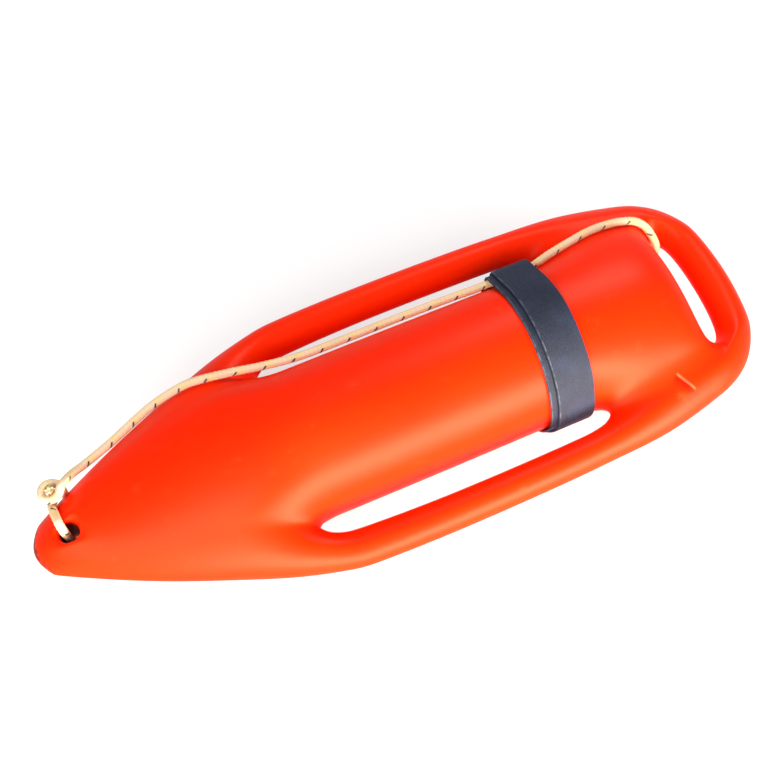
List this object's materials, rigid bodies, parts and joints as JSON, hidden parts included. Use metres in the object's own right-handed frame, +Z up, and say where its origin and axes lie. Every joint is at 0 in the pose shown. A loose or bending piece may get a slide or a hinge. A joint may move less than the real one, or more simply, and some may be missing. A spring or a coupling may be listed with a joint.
{
  "type": "rescue can buoy",
  "caption": "Moulded rescue can with a pointed nose, side and rear hand slots, a towline knotted at the nose hole and a webbing belt with a peeling closing tab",
  "frame": {"origin": "bottom centre of the bounding box, on the surface the can lies on", "axes": "+X runs along the can from its nose to its rear hand rail, +Y to the side where the towline lies, +Z up"},
  "size_m": [0.7218, 0.266, 0.1651],
  "materials": {
    "shell": "semi-gloss moulded polyethylene",
    "foam": "closed-cell foam",
    "plug": "semi-gloss",
    "line": "braided rope",
    "webbing": "woven webbing",
    "patch": "hook and loop"
  },
  "bodies": {
    "can": {"hull_shell": "shell", "foam_core": "foam", "fill_plug": "plug", "towline": "line", "belt_wrap": "webbing", "loop_patch": "patch"},
    "tab": {"closure_tab": "webbing", "hook_patch": "patch"}
  },
  "joints": [
    {"name": "tab_peel", "type": "hinge", "parent": "can", "child": "tab", "pos_m": [0.14601, 0.08077, 0.06044], "axis": [0.9997, 0, 0.0237], "range_deg": [0, 90]}
  ]
}
